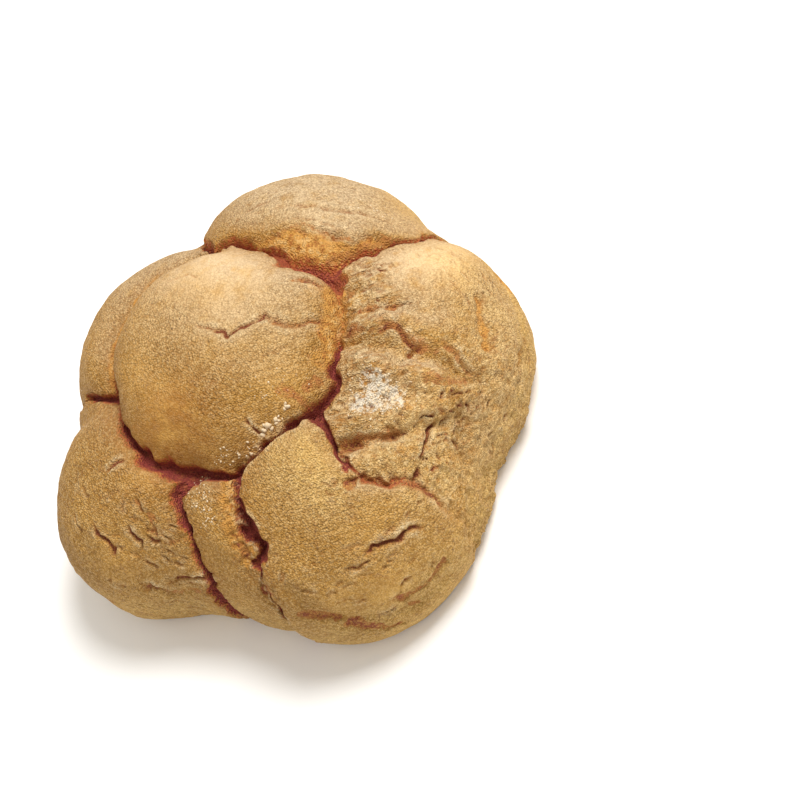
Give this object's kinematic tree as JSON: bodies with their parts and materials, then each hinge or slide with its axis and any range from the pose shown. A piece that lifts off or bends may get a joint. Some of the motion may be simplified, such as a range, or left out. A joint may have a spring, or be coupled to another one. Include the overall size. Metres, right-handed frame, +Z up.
{
  "type": "rosetta roll",
  "caption": "Top half of a rosetta bread roll, a round boss ringed by crusty petals, cut flat to lie on its crumb or close a sandwich.",
  "frame": {"origin": "middle of the flat cut face, under the round boss", "axes": "+Z up out of the cut face through the boss; +X towards the gap between the ledge petal and the wrinkled petal; -Y towards the smooth petal"},
  "size_m": [0.1028, 0.0973, 0.044],
  "materials": {
    "crust": "dry, matt, finely granular golden-brown baked crust; pale cream open crumb on the cut face"
  },
  "bodies": {
    "root": {"rosetta_top_half": "crust"}
  },
  "joints": []
}
